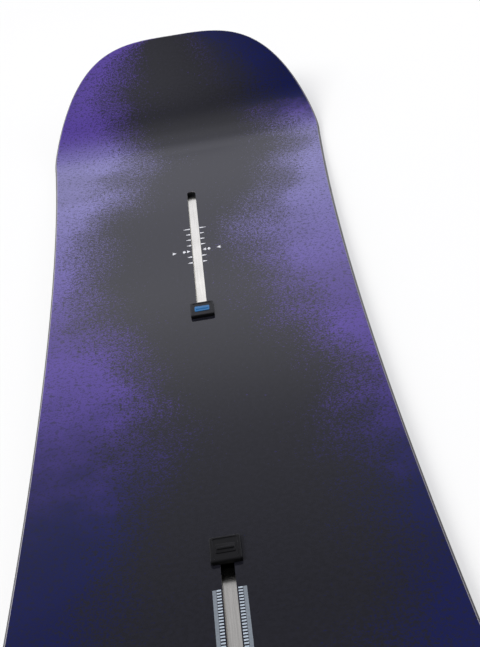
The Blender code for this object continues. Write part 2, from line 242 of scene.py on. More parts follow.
class BoardColours(bpy.types.PropertyGroup):
    """Colours of the finishes, in linear light."""

    charcoal: colour("Charcoal", "Middle of the topsheet", (0.0105, 0.0105, 0.0145))
    violet: colour("Violet", "Sprayed colour along the middle of the sides", (0.085, 0.045, 0.30))
    indigo: colour("Indigo", "Sprayed colour at the tail and the right of the nose", (0.003, 0.006, 0.065))
    # The front shoulder's lighter violet: the violet print with a painted sheen of the gloss added.
    lavender_sheen: colour("Lavender", "Sprayed colour at the front shoulder", (0.21, 0.19, 0.46))
    # Pale violet-grey of the topsheet's cut walls: partly the sheet's own edge, partly a painted highlight
    # along the chamfer.
    film_and_highlight: colour("Film", "Cut edge of the topsheet", (0.30, 0.28, 0.31))
    sidewall: colour("Sidewall", "Sidewalls and tip spacers", (0.080, 0.080, 0.082))
    glass: colour("Fibreglass", "Cured glass plies", (0.085, 0.083, 0.080))
    base: colour("Base", "Running base", (0.016, 0.016, 0.018))
    steel: colour("Steel", "Running edges", (0.42, 0.42, 0.43))
    aluminium: colour("Aluminium", "Channel rails", (0.90, 0.88, 0.77))
    nylon: colour("Nylon", "Caps at the rail ends", (0.012, 0.012, 0.013))
    rubber: colour("Rubber", "Plugs and edge foil", (0.005, 0.005, 0.005))
    accent: colour("Accent", "Panel and grip of the front plug", (0.015, 0.17, 0.42))
    ink: colour("Ink", "Stance marks", (0.90, 0.91, 0.92))
    scale_ink: colour("Scale ink", "Scale beside the rear channel", (0.52, 0.60, 0.66))
    dark_wood: colour("Dark wood", "Odd strips of the core", (0.30, 0.15, 0.065))
    pale_wood: colour("Pale wood", "Even and middle strips of the core", (0.55, 0.37, 0.19))


class StageLook(bpy.types.PropertyGroup):
    """Floor and studio light."""

    floor: colour("Floor", "Colour of the floor", (0.99, 0.99, 0.95))
    floor_size: length("Floor size", "Side of the square floor", 24.0)
    key: bpy.props.FloatProperty(
        name="Key light", description="Strength of the soft key light from the left", default=2.40, min=0.0)
    shadow: bpy.props.FloatProperty(
        name="Shadow", description="How much of the floor's own shading the camera sees", default=0.42,
        subtype="FACTOR", min=0.0, max=1.0)


# Flat outline, stack heights and press

def smooth(value):
    """Clamped to 0 and 1, with level ends: 3v^2 - 2v^3."""
    value = np.clip(value, 0.0, 1.0)
    return value * value * (3 - 2 * value)


def half_width(s):
    """Half the board's width: the sidecut arc, drawn in past its end by a rounded tip."""
    past = np.clip((np.abs(s) - SIDECUT_HALF) / TIP_LENGTH, 0.0, LAST_TIP_SHARE)
    return (WAIST_HALF + s * s / (2 * SIDECUT_RADIUS)) * (1 - past**TIP_SHOULDER) ** (1 / TIP_BLUNTNESS)


def outline(s, inset):
    """(x, s) of the line that runs inset inside the right-hand outline: along the outline's normal past the
    sidecut, level with s beside it."""
    step = 1e-6
    slope = (half_width(s + step) - half_width(s - step)) / (2 * step)
    run = np.hypot(1, slope)
    beside = np.abs(s) <= SIDECUT_HALF
    x = half_width(s) - inset * np.where(beside, run, 1 / run)
    return x, s + np.where(beside, 0.0, inset * slope / run)


def core_high(s):
    """Top of the core: level underfoot, eased down to the tip spacers."""
    ease = smooth((np.abs(s) - CORE_HALF + CORE_TAPER) / CORE_TAPER)
    return CORE_LOW + CORE_THICK + (TIP_CORE_THICK - CORE_THICK) * ease


def upper_glass_low(s):
    return core_high(s) + BOND


def upper_glass_high(s):
    return upper_glass_low(s) + GLASS_THICK


def topsheet_low(s):
    return upper_glass_high(s) + BOND


def top_height(s):
    return topsheet_low(s) + TOPSHEET_THICK


def side_inset(s, n):
    """How far the side lies inside the steel edge at height n: a slanted wall, then a 45 degree chamfer."""
    chamfer_low = top_height(s) - CHAMFER
    slanted = (np.minimum(n, chamfer_low) - EDGE_HEIGHT) * math.tan(SIDEWALL_SLANT)
    return EDGE_PROUD + slanted + np.maximum(n - chamfer_low, 0.0)


def press(x, s, n):
    """Bends flat points: between the contacts a low hump (1 - v^2)^2 of camber is added to n, and past them
    the sheet rolls up round a circle of the kick radius."""
    x, s, n = np.broadcast_arrays(x, s, n)
    along = np.abs(s)
    tilt = np.maximum(along - KICK_START, 0.0) / KICK_RADIUS
    hump = CAMBER_HEIGHT * (1 - np.minimum(along / CAMBER_HALF, 1.0) ** 2) ** 2
    kicked = along > KICK_START
    y = np.where(kicked, KICK_START + (KICK_RADIUS - n) * np.sin(tilt), along)
    z = np.where(kicked, KICK_RADIUS - (KICK_RADIUS - n) * np.cos(tilt), n + hump)
    return np.stack((x, np.copysign(y, s), z), axis=-1)


def board_rows():
    """Places along the board: even steps, finer in the kicks, sine-spaced to the tips' ends."""
    side = np.linspace(-KICK_START, KICK_START, SIDE_ROWS)
    kick = np.linspace(KICK_START, SIDECUT_HALF, KICK_ROWS)[1:]
    past = np.sin(np.linspace(0.0, math.pi / 2, TIP_ROWS))[1:]
    nose = np.concatenate((kick, SIDECUT_HALF + TIP_LENGTH * np.minimum(past, LAST_TIP_SHARE)))
    return np.concatenate((-nose[::-1], side, nose))


def rows_between(start, end, extra=()):
    """The rows inside start and end, with both ends and any extra places put in."""
    rows = board_rows()
    inside = rows[(rows > start) & (rows < end)]
    return np.unique(np.round(np.concatenate(((start, end), inside, extra)), 7))


def tip_rows(start):
    """From start to the end of the nose."""
    return rows_between(start, SIDECUT_HALF + TIP_LENGTH * LAST_TIP_SHARE)


# Meshes

def ring_sweep(rings):
    """A closed skin through rings of points, an array (rows, points, 3), with a face over each end."""
    rows, count = rings.shape[:2]
    index = np.arange(rows * count).reshape(rows, count)
    near, far = index[:-1], index[1:]
    quads = np.stack((near, np.roll(near, -1, 1), np.roll(far, -1, 1), far), -1).reshape(-1, 4)
    return rings.reshape(-1, 3), quads.tolist() + [index[0].tolist(), index[-1].tolist()]


def thick_sheet(top, bottom, quads):
    """A sheet's upper faces, the same faces turned over below, and a wall down from every free edge."""
    count = len(top)
    edges = np.concatenate([quads[:, (i, (i + 1) % 4)] for i in range(4)])
    key = edges.min(1) * count + edges.max(1)
    _, first, uses = np.unique(key, return_index=True, return_counts=True)
    rim = edges[first[uses == 1]]
    walls = np.stack((rim[:, 1], rim[:, 0], rim[:, 0] + count, rim[:, 1] + count), -1)
    return np.concatenate((top, bottom)), np.concatenate((quads, quads[:, ::-1] + count, walls)).tolist()


def prisms(plans, low, high):
    """Flat plates on the pressed topsheet, one for each plan: an array (plates, corners, 2) of (x, s)."""
    plates, corners = plans.shape[:2]
    x, s = plans[..., 0], plans[..., 1]
    top = press(x, s, top_height(s) + high).reshape(-1, 3)
    bottom = press(x, s, top_height(s) + low).reshape(-1, 3)
    index = np.arange(plates * corners).reshape(plates, corners)
    ahead = np.roll(index, -1, 1)
    walls = np.stack((index, ahead, ahead + index.size, index + index.size), -1).reshape(-1, 4)
    faces = index.tolist() + (index[:, ::-1] + index.size).tolist() + walls.tolist()
    return np.concatenate((top, bottom)), faces


def make_piece(name, shape, material, body, replaced=(), layout=None):
    """A new piece: its doubles merged, its faces turned outwards, smooth between sharp edges. A layout puts
    on the mesh each point's flat place, as (x, s, depth below the top), and its share of the way from the
    middle to the outline."""
    points, faces = shape
    mesh = bpy.data.meshes.new(name)
    mesh.from_pydata(points.tolist(), [], faces)
    if layout is not None:
        flat, across = layout
        mesh.attributes.new("flat", "FLOAT_VECTOR", "POINT").data.foreach_set("vector", flat.ravel())
        mesh.attributes.new("across", "FLOAT", "POINT").data.foreach_set("value", across.ravel())
    bm = bmesh.new()
    bm.from_mesh(mesh)
    bmesh.ops.remove_doubles(bm, verts=bm.verts, dist=WELD)
    bmesh.ops.dissolve_degenerate(bm, edges=bm.edges, dist=WELD)
    bmesh.ops.delete(bm, geom=[point for point in bm.verts if not point.link_faces], context="VERTS")
    bmesh.ops.recalc_face_normals(bm, faces=bm.faces)
    bm.to_mesh(mesh)
    bm.free()
    mesh.shade_smooth()
    mesh.set_sharp_from_angle(angle=SHARP_ANGLE)
    mesh.materials.append(material)
    made = bpy.data.objects.new(name, mesh)
    bpy.context.scene.collection.objects.link(made)
    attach(made, body)
    if replaced:
        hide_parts(*replaced)
    return made


def dress(nodes, material):
    """Gives CAD nodes that stay in view a finish of their own."""
    for name in nodes:
        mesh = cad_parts[name].data
        mesh.materials.clear()
        mesh.materials.append(material)


def span_rings(s, insets, heights):
    """Rings across the board: the right side bottom to top, then the left side top to bottom."""
    x, along = outline(s[:, None], insets)
    return np.concatenate((press(x, along, heights), press(-x, along, heights)[:, ::-1]), axis=1)


def side_rings(s, side, insets, heights):
    """Rings of a strip that runs along one side of the board."""
    x, along = outline(s[:, None], insets)
    return press(side * x, along, heights)


def levels(s, *values):
    """Columns of numbers, one row for each place along the board."""
    return np.stack([np.broadcast_to(value, s.shape) for value in values], axis=1)


def arc(centre, radius, start, end, steps):
    """Points (u, v) on part of a circle, angles in degrees."""
    angle = np.radians(np.linspace(start, end, steps + 1))
    return np.stack((centre[0] + radius * np.cos(angle), centre[1] + radius * np.sin(angle)), -1)


# Node building

def add(tree, kind, inputs=None, **settings):
    """A node whose inputs are given by name or number: a socket is linked, a value is set."""
    made = tree.nodes.new(kind)
    for key, value in settings.items():
        setattr(made, key, value)
    for key, value in (inputs or {}).items():
        if isinstance(value, bpy.types.NodeSocket):
            tree.links.new(value, made.inputs[key])
        else:
            made.inputs[key].default_value = value
    return made


def maths(tree, operation, *values):
    return add(tree, "ShaderNodeMath", dict(enumerate(values)), operation=operation).outputs[0]


def fold(tree, operation, first, *others):
    """Values joined one after another by the same operation."""
    for other in others:
        first = maths(tree, operation, first, other)
    return first


def swing(tree, drift, size):
    """Noise turned into a shift of up to half the size either way."""
    return maths(tree, "MULTIPLY_ADD", drift, size, -size / 2)


def ranged(tree, value, low, high, to_low=0.0, to_high=1.0):
    """A smooth step from to_low at low to to_high at high."""
    inputs = {"Value": value, "From Min": low, "From Max": high, "To Min": to_low, "To Max": to_high}
    return add(tree, "ShaderNodeMapRange", inputs, interpolation_type="SMOOTHSTEP").outputs["Result"]


def noise(tree, vector, scale, detail=2.0, roughness=0.5):
    inputs = {"Vector": vector, "Scale": scale, "Detail": detail, "Roughness": roughness}
    return add(tree, "ShaderNodeTexNoise", inputs).outputs["Fac"]


def rgba(tint, level=1.0):
    """A colour for a socket, times a level."""
    return (*(level * part for part in tint), 1.0)


def mix_colours(tree, factor, first, second):
    """first where the factor is 0, second where it is 1."""
    return add(tree, "ShaderNodeMix", {0: factor, 6: first, 7: second}, data_type="RGBA").outputs[2]


def scaled(tree, tint, level):
    return add(tree, "ShaderNodeVectorMath", {0: tint, "Scale": level}, operation="SCALE").outputs[0]


def shaded(tree, tint, mask, depth):
    """The tint, darker by the depth where the mask is 1."""
    return scaled(tree, tint, maths(tree, "SUBTRACT", 1.0, maths(tree, "MULTIPLY", mask, depth)))


def node_group(name, inputs, outputs, build):
    """The shader node group of this name. It is made once: build gives what each of its outputs shows."""
    if name in bpy.data.node_groups:
        return bpy.data.node_groups[name]
    kinds = {"Vector": "NodeSocketVector", "Colour": "NodeSocketColor"}
    tree = bpy.data.node_groups.new(name, "ShaderNodeTree")
    for way, sockets in (("INPUT", inputs), ("OUTPUT", outputs)):
        for socket in sockets:
            tree.interface.new_socket(socket, in_out=way, socket_type=kinds.get(socket, "NodeSocketFloat"))
    given = tree.nodes.new("NodeGroupInput").outputs
    shown = tree.nodes.new("NodeGroupOutput").inputs
    for socket, value in build(tree, given).items():
        tree.links.new(value, shown[socket])
    return tree


def handling_group():
    """Soft smudges from hands and wiping: low noise that makes a finish a little duller in places."""

    def build(tree, given):
        cloud = noise(tree, given["Vector"], maths(tree, "DIVIDE", 1.0, given["Size"]), 4.0, 0.6)
        return {"Roughness": ranged(tree, cloud, 0.3, 0.7, given["Low"], given["High"])}

    return node_group("handling", ("Vector", "Size", "Low", "High"), ("Roughness",), build)


def drawn_group():
    """Lines along the board, as drawing, grinding or milling leave: noise stretched along Y."""

    def build(tree, given):
        across = maths(tree, "DIVIDE", 1.0, given["Pitch"])
        along = maths(tree, "MULTIPLY", across, given["Stretch"])
        scale = add(tree, "ShaderNodeCombineXYZ", {0: across, 1: along, 2: across}).outputs[0]
        place = add(tree, "ShaderNodeVectorMath", {0: given["Vector"], 1: scale}, operation="MULTIPLY")
        lines = noise(tree, place.outputs[0], 1.0, 3.0, 0.6)
        valleys = ranged(tree, lines, 0.3, 0.7, 1.0, 0.0)
        return {"Colour": shaded(tree, given["Colour"], valleys, given["Depth"]), "Height": lines}

    inputs = ("Vector", "Pitch", "Stretch", "Colour", "Depth")
    return node_group("drawn_lines", inputs, ("Colour", "Height"), build)


def pebble_group():
    """Fine moulded texture: round cells and a little noise, for rubber, nylon and moulded plastic."""

    def build(tree, given):
        scale = maths(tree, "DIVIDE", 1.0, given["Size"])
        cells = add(tree, "ShaderNodeTexVoronoi", {"Vector": given["Vector"], "Scale": scale})
        cloud = noise(tree, given["Vector"], maths(tree, "MULTIPLY", scale, 0.13), 3.0)
        height = maths(tree, "MULTIPLY_ADD", cells.outputs["Distance"], 0.6, cloud)
        crests = ranged(tree, height, 0.4, 1.1)
        return {"Colour": shaded(tree, given["Colour"], crests, given["Depth"]), "Height": height}

    return node_group("moulded_grain", ("Vector", "Size", "Colour", "Depth"), ("Colour", "Height"), build)


def placed(tree, made, inputs):
    """The outputs of a node group, placed with its own values."""
    return add(tree, "ShaderNodeGroup", inputs, node_tree=made).outputs


def new_material(name, **constants):
    """A material with its Principled shader, whose even values are set on the shader itself."""
    material = bpy.data.materials.new(name)
    material.use_nodes = True
    shader = material.node_tree.nodes["Principled BSDF"]
    for key, value in constants.items():
        shader.inputs[key.replace("_", " ")].default_value = value
    return material, material.node_tree, shader


def object_place(tree):
    return add(tree, "ShaderNodeTexCoord").outputs["Object"]


def bump(tree, shader, height, distance):
    inputs = {"Height": height, "Distance": distance, "Strength": 1.0}
    tree.links.new(add(tree, "ShaderNodeBump", inputs).outputs[0], shader.inputs["Normal"])


def handled(tree, shader, place, size, rough):
    """Roughness that drifts between two values, in smudges of one size."""
    inputs = {"Vector": place, "Size": size, "Low": rough[0], "High": rough[1]}
    tree.links.new(placed(tree, handling_group(), inputs)["Roughness"], shader.inputs["Roughness"])


# Finishes

def drawn_material(name, tint, pitch, depth, rough, relief, stretch=0.02, **constants):
    """Metal, milled plastic or ground base: lines along the board, with handling marks in the gloss."""
    material, tree, shader = new_material(name, **constants)
    place = object_place(tree)
    inputs = {"Vector": place, "Pitch": pitch, "Stretch": stretch, "Colour": rgba(tint), "Depth": depth}
    lines = placed(tree, drawn_group(), inputs)
    tree.links.new(lines["Colour"], shader.inputs["Base Color"])
    handled(tree, shader, place, size=0.04, rough=rough)
    bump(tree, shader, lines["Height"], relief)
    return material


def moulded_material(name, tint, grain, depth, rough, relief, **constants):
    """Rubber, nylon or plastic: fine moulded grain, with handling marks in the gloss."""
    material, tree, shader = new_material(name, **constants)
    place = object_place(tree)
    inputs = {"Vector": place, "Size": grain, "Colour": rgba(tint), "Depth": depth}
    pebbles = placed(tree, pebble_group(), inputs)
    tree.links.new(pebbles["Colour"], shader.inputs["Base Color"])
    handled(tree, shader, place, size=0.01, rough=rough)
    bump(tree, shader, pebbles["Height"], relief)
    return material


def topsheet_material(colours, detail):
    """Sprayed print under clear gloss: charcoal down the middle, colour towards the outline, and on the walls
    where the sheet is cut a pale violet-grey, partly the sheet's own edge and partly a painted chamfer
    highlight."""
    material, tree, shader = new_material(
        "topsheet_print", Coat_Weight=0.55, Coat_Roughness=0.07, Coat_IOR=1.5, Specular_IOR_Level=0.0)
    flat = add(tree, "ShaderNodeAttribute", attribute_name="flat").outputs["Vector"]
    across = add(tree, "ShaderNodeAttribute", attribute_name="across").outputs["Fac"]
    _, along, depth = add(tree, "ShaderNodeSeparateXYZ", {0: flat}).outputs
    cloud = noise(tree, flat, CLOUDS_PER_METRE)
    ragged = noise(tree, flat, RAGS_PER_METRE, 3.0, 0.6)
    fine = noise(tree, flat, 1.0 / detail.speck_size, 1.0)
    coarse = noise(tree, flat, 0.4 / detail.speck_size, 2.0, 0.6)

    reach = sprayed_reach(tree, along, across, cloud, ragged)
    landed = sprayed_cover(tree, flat, reach, fine, coarse)
    tint = sprayed_tint(tree, colours, along, across, cloud, ragged)
    ground = mix_colours(
        tree, ranged(tree, coarse, 0.35, 0.65), rgba(colours.charcoal, 0.88), rgba(colours.charcoal, 1.12))
    printed = mix_colours(tree, landed, ground, tint)
    # The cut walls take the pale colour: the sheet's own edge, with a painted highlight along the chamfer.
    cut = ranged(tree, depth, 0.00002, 0.00012)
    tree.links.new(mix_colours(tree, cut, printed, rgba(colours.film_and_highlight)), shader.inputs["Base Color"])
    handled(tree, shader, flat, size=0.12, rough=(0.36, 0.44))
    bump(tree, shader, maths(tree, "ADD", fine, landed), 0.000006)
    return material


def sprayed_reach(tree, along, across, cloud, ragged):
    """How far a place lies from the print's dark middle, in shares of half the width. The middle weaves as a
    cosine of s, longer towards the tail, and two sizes of noise fray it."""
    turns = [maths(tree, "MULTIPLY", maths(tree, side, along, 0.0), 2 * math.pi / wave)
             for side, wave in zip(("MAXIMUM", "MINIMUM"), SPRAY_WAVES)]
    weave = maths(tree, "MULTIPLY", maths(tree, "COSINE", maths(tree, "ADD", *turns)), SPRAY_SWING)
    reach = maths(tree, "ABSOLUTE", maths(tree, "SUBTRACT", across, weave))
    return fold(tree, "ADD", reach, swing(tree, cloud, 0.65), swing(tree, ragged, 0.22))


def sprayed_cover(tree, flat, reach, fine, coarse):
    """How much paint has landed. Far from the dark middle it is solid, nearer it thins to specks over a faint
    mist, and a few stray drops lie anywhere. Small bare grains show through all of it."""
    speck = maths(tree, "MULTIPLY_ADD", coarse, 0.35, maths(tree, "MULTIPLY", fine, 0.65))
    solid = ranged(tree, maths(tree, "ADD", reach, swing(tree, speck, 1.0)), 0.56, 0.84)
    halo = ranged(tree, reach, 0.05, 0.90)
    specks = ranged(tree, maths(tree, "MULTIPLY_ADD", halo, 0.30, speck), 0.64, 0.80, 0.0, 0.7)
    drops = add(tree, "ShaderNodeTexVoronoi", {"Vector": flat, "Scale": DROPS_PER_METRE}).outputs
    chosen = add(tree, "ShaderNodeSeparateColor", {0: drops["Color"]}).outputs["Red"]
    stray = maths(tree, "MULTIPLY", ranged(tree, drops["Distance"], 0.08, 0.04),
                  ranged(tree, chosen, 0.78, 0.86, 0.0, 0.55))
    mist = ranged(tree, reach, 0.25, 0.90, 0.0, 0.14)
    landed = fold(tree, "MAXIMUM", solid, specks, stray, mist)
    bare = maths(tree, "MAXIMUM", ranged(tree, speck, 0.50, 0.37, 0.0, 0.6),
                 ranged(tree, coarse, 0.46, 0.33, 0.0, 0.6))
    return maths(tree, "MULTIPLY", landed, maths(tree, "SUBTRACT", 1.0, bare))


def sprayed_tint(tree, colours, along, across, cloud, ragged):
    """Colour of the paint: indigo at the tail and on the right of the nose, violet between, at the front
    shoulder violet lightened by a painted sheen of the gloss, and a little darker where the cloud noise is
    low."""
    frayed = maths(tree, "ADD", along, swing(tree, ragged, 0.12))
    tail = ranged(tree, frayed, 0.13, -0.14)
    nose = maths(tree, "MULTIPLY", ranged(tree, frayed, 0.58, 0.66), ranged(tree, across, 0.0, 0.5))
    # Where the painted sheen lightens the violet: rising from s 0.10, full from 0.50 to 0.54, gone by 0.64.
    shoulder = maths(tree, "MULTIPLY", ranged(tree, along, 0.10, 0.50), ranged(tree, along, 0.64, 0.54))
    tint = mix_colours(tree, shoulder, rgba(colours.violet), rgba(colours.lavender_sheen))
    tint = mix_colours(tree, maths(tree, "MAXIMUM", tail, nose), tint, rgba(colours.indigo))
    return scaled(tree, tint, ranged(tree, cloud, 0.36, 0.56, 0.82, 1.0))


def glass_material(colours):
    """Cured fibreglass: two sets of crossing rovings under a skin of resin. All plies share it."""
    name = "cured_glass"
    if name in bpy.data.materials:
        return bpy.data.materials[name]
    material, tree, shader = new_material(name, Specular_IOR_Level=0.2)
    turn = {"Vector": object_place(tree), "Rotation": (0, 0, math.radians(45))}
    turned = add(tree, "ShaderNodeMapping", turn).outputs[0]
    bands = {"Vector": turned, "Scale": 90.0, "Distortion": 1.2, "Detail": 2.0}
    sets = [add(tree, "ShaderNodeTexWave", bands, bands_direction=axis).outputs["Fac"] for axis in "XY"]
    weave = maths(tree, "MULTIPLY", *sets)
    tint = mix_colours(tree, weave, rgba(colours.glass, 0.72), rgba(colours.glass))
    tree.links.new(tint, shader.inputs["Base Color"])
    tree.links.new(ranged(tree, weave, 0.0, 1.0, 0.5, 0.36), shader.inputs["Roughness"])
    bump(tree, shader, weave, 0.00004)
    return material


def wood_material(name, tint):
    """Planed core wood: growth lines along the board, drifting, with short dark pores."""
    material, tree, shader = new_material(name)
    place = object_place(tree)
    inputs = {"Vector": place, "Pitch": 0.0035, "Stretch": 0.03, "Colour": rgba(tint), "Depth": 0.45}
    lines = placed(tree, drawn_group(), inputs)
    pores = add(tree, "ShaderNodeMapping", {"Vector": place, "Scale": (1600.0, 90.0, 1600.0)}).outputs[0]
    open_pore = ranged(tree, noise(tree, pores, 1.0, 1.0), 0.62, 0.72)
    grain = mix_colours(tree, maths(tree, "MULTIPLY", open_pore, 0.6), lines["Colour"], rgba(tint, 0.35))
    tree.links.new(grain, shader.inputs["Base Color"])
    handled(tree, shader, place, size=0.05, rough=(0.5, 0.68))
    bump(tree, shader, maths(tree, "SUBTRACT", lines["Height"], open_pore), 0.00008)
    return material


def ink_material(name, tint, level=1.0):
    """Screen-printed ink: opaque, with a slightly uneven lay, darkened to a level of its tint."""
    material, tree, shader = new_material(name, Coat_Weight=0.4, Coat_Roughness=0.15)
    lay = noise(tree, object_place(tree), 900.0, 3.0, 0.6)
    inked = mix_colours(tree, ranged(tree, lay, 0.35, 0.7), rgba(tint, 0.8 * level), rgba(tint, level))
    tree.links.new(inked, shader.inputs["Base Color"])
    tree.links.new(ranged(tree, lay, 0.3, 0.7, 0.45, 0.6), shader.inputs["Roughness"])
    bump(tree, shader, lay, 0.00001)
    return material


# Pieces

class SNOWBOARD_OT_topsheet(bpy.types.Operator):
    """Topsheet and the glass ply under it, opened over both channels"""

    bl_idname = "snowboard.topsheet"
    bl_label = "Topsheet"

    def execute(self, context):
        colours, detail = context.scene.board_colours, context.scene.board_detail
        shape, layout = opened_sheet(topsheet_low, top_height)
        make_piece("topsheet_skin", shape, topsheet_material(colours, detail), "board",
                   ["topsheet"], layout)
        shape, _ = opened_sheet(upper_glass_low, upper_glass_high)
        make_piece("upper_glass", shape, glass_material(colours), "board", ["upper_glass_ply"])
        return {"FINISHED"}


def opening_rows():
    """Rows beside one channel: the entry's rounded corners, and the slot's round outer end."""
    quarter = np.linspace(0.0, math.pi / 2, ARC_STEPS + 1)
    corner = ENTRY_CORNER * (1 - np.cos(quarter))
    end = SLOT_HALF * np.sin(quarter)
    return np.concatenate((ENTRY_START + corner, ENTRY_END - corner, RAIL_END + end))


def curved_columns(along):
    """x of the two columns that follow a circle at some rows: the seam in the middle opens round the slot's
    outer end, and the column inside the entry's side swells out to it round the entry's corners."""
    past_rail = np.clip(along - RAIL_END, 0.0, SLOT_HALF)
    in_end = (along > RAIL_END - NEAR) & (along < RAIL_END + SLOT_HALF + NEAR)
    seam = np.where(in_end, np.sqrt(SLOT_HALF**2 - past_rail**2), 0.0)
    from_corner = np.maximum(ENTRY_START + ENTRY_CORNER - along, along - ENTRY_END + ENTRY_CORNER)
    from_corner = np.clip(from_corner, 0.0, ENTRY_CORNER)
    in_entry = (along > ENTRY_START - NEAR) & (along < ENTRY_END + NEAR)
    swell = np.where(in_entry, np.sqrt(ENTRY_CORNER**2 - from_corner**2), 0.0)
    return seam, ENTRY_HALF - ENTRY_CORNER + swell


def opened_bands(along):
    """How many bands of cells are left out each side of the middle: four over the entry, three at its
    corners, two over the slot and one at the slot's round end."""
    spans = ((ENTRY_START + ENTRY_CORNER, ENTRY_END - ENTRY_CORNER), (ENTRY_START, ENTRY_END),
             (ENTRY_END, RAIL_END), (RAIL_END, RAIL_END + SLOT_HALF))
    return np.select([(along > start) & (along < end) for start, end in spans], [4, 3, 2, 1], 0)


def opened_sheet(low, high):
    """A sheet over the whole board on a grid: rows along it, and columns across it that follow the seam, the
    slot's side, the entry's corners and the entry's side, then spread evenly to the outline. Cells over the
    entry and the slot are left out."""
    places = opening_rows()
    last = SIDECUT_HALF + TIP_LENGTH * LAST_TIP_SHARE
    s = rows_between(-last, last, np.concatenate((places, -places)))
    s = s[np.concatenate(([True], np.diff(s) > ROW_GAP))]
    along = np.abs(s)
    seam, corner = curved_columns(along)
    outward = np.linspace(0.0, 1.0, OUTER_COLUMNS + 1)[1:]
    layers, flat, shares = [], [], []
    for height in (high(s), low(s)):
        rim, row_s = outline(s, side_inset(s, height))
        spread = ENTRY_HALF + (rim[:, None] - ENTRY_HALF) * outward
        right = np.concatenate((levels(s, seam, SLOT_HALF, corner, ENTRY_HALF), spread), axis=1)
        x = np.concatenate((-right[:, ::-1], right), axis=1)
        layers.append(press(x, row_s[:, None], height[:, None]).reshape(-1, 3))
        flat.append(np.stack(np.broadcast_arrays(x, row_s[:, None], (high(s) - height)[:, None]), -1))
        shares.append(x / rim[:, None])
    rows, columns = x.shape
    index = np.arange(rows * columns).reshape(rows, columns)
    quads = np.stack((index[:-1, :-1], index[:-1, 1:], index[1:, 1:], index[1:, :-1]), -1)
    band = np.abs(np.arange(columns - 1) - (columns // 2 - 1))
    opened = opened_bands((along[:-1] + along[1:]) / 2)
    kept = quads[band[None, :] >= opened[:, None]]
    return thick_sheet(*layers, kept), (np.concatenate(flat), np.concatenate(shares))


class SNOWBOARD_OT_lower_laminate(bpy.types.Operator):
    """Glass ply and infill under the core, and the rubber foil over the steel edges"""

    bl_idname = "snowboard.lower_laminate"
    bl_label = "Lower laminate"

    def execute(self, context):
        colours = context.scene.board_colours
        glass = glass_material(colours)
        s = board_rows()
        heights = levels(s, LOWER_GLASS_LOW, LOWER_GLASS_LOW + GLASS_THICK)
        rings = span_rings(s, side_inset(s[:, None], heights), heights)
        make_piece("lower_glass", ring_sweep(rings), glass, "board", ["lower_glass_ply"])
        inset = EDGE_WIDTH + FLANGE_WIDTH + BOND
        rings = span_rings(s, levels(s, inset, inset), levels(s, BASE_THICK + BOND, DAMPER_HIGH))
        make_piece("lower_infill", ring_sweep(rings), glass, "board", ["lower_glass_infill"])
        foil = moulded_material("edge_foil_rubber", colours.rubber, grain=0.0006, depth=0.3,
                                rough=(0.7, 0.85), relief=0.00002)
        dress(["edge_damper_left", "edge_damper_right"], foil)
        return {"FINISHED"}


class SNOWBOARD_OT_base(bpy.types.Operator):
    """Running base, one sheet from tip to tip with a ground structure"""

    bl_idname = "snowboard.base"
    bl_label = "Base"

    def execute(self, context):
        ground = drawn_material("ground_base", context.scene.board_colours.base, pitch=0.0007, depth=0.45,
                                rough=(0.30, 0.44), relief=0.00002, stretch=0.012)
        s = board_rows()
        inset = EDGE_WIDTH + BOND
        rings = span_rings(s, levels(s, inset, inset), levels(s, 0.0, BASE_THICK))
        make_piece("running_base", ring_sweep(rings), ground, "board",
                   ["base_running", "base_nose", "base_tail"])
        return {"FINISHED"}


class SNOWBOARD_OT_edges(bpy.types.Operator):
    """Running edges with toothed flanges, and an edge bent round each tip"""

    bl_idname = "snowboard.edges"
    bl_label = "Steel edges"

    def execute(self, context):
        rounding = context.scene.board_detail.edge_round
        steel = drawn_material("ground_steel", context.scene.board_colours.steel, pitch=0.0005, depth=0.3,
                               rough=(0.24, 0.38), relief=0.000008, Metallic=1.0)
        s, flange = toothed_flange()
        for name, side in SIDES:
            rings = side_rings(s, side, *edge_section(s, flange, rounding))
            make_piece(f"running_edge_{name}", ring_sweep(rings), steel, "board",
                       [f"steel_edge_{name}"])
        for name, end in ENDS:
            s_tip = end * tip_rows(SIDECUT_HALF + BOND)
            right = side_rings(s_tip, 1, *edge_section(s_tip, FLANGE_WIDTH, rounding))
            left = right[::-1] * np.array((-1, 1, 1))
            rings = np.concatenate((right, left))
            make_piece(f"tip_edge_{name}", ring_sweep(rings), steel, "board",
                       [f"steel_edge_{name}"])
        return {"FINISHED"}


def toothed_flange():
    """Rows along the sidecut and the flange's width at each: full at the teeth, down to the root in the gaps
    between them, with short flanks."""
    teeth = round(2 * SIDECUT_HALF / TOOTH_PITCH)
    pitch = 2 * SIDECUT_HALF / teeth
    corners = np.array((TOOTH_GAP / 2, TOOTH_GAP / 2 + TOOTH_FLANK))
    corners = np.concatenate((corners, pitch - corners))
    starts = -SIDECUT_HALF + pitch * np.arange(teeth)
    s = rows_between(-SIDECUT_HALF, SIDECUT_HALF, (starts[:, None] + corners).ravel())
    from_gap = np.abs((s + SIDECUT_HALF + pitch / 2) % pitch - pitch / 2) - TOOTH_GAP / 2
    return s, FLANGE_ROOT + (FLANGE_WIDTH - FLANGE_ROOT) * np.clip(from_gap / TOOTH_FLANK, 0.0, 1.0)


def edge_section(s, flange, rounding):
    """Section of the steel edge at each place, as insets and heights: a square runner with round outer
    corners and a thin flange over the base."""
    foot = arc((rounding, rounding), rounding, 270, 180, EDGE_STEPS)
    crown = arc((rounding, EDGE_HEIGHT - rounding), rounding, 180, 90, EDGE_STEPS)
    runner = np.concatenate(([(EDGE_WIDTH, 0.0)], foot, crown))
    flange_low = BASE_THICK + BOND
    insets = [*runner[:, 0], EDGE_WIDTH + flange, EDGE_WIDTH + flange, EDGE_WIDTH]
    heights = [*runner[:, 1], EDGE_HEIGHT, flange_low, flange_low]
    return levels(s, *insets), levels(s, *heights)


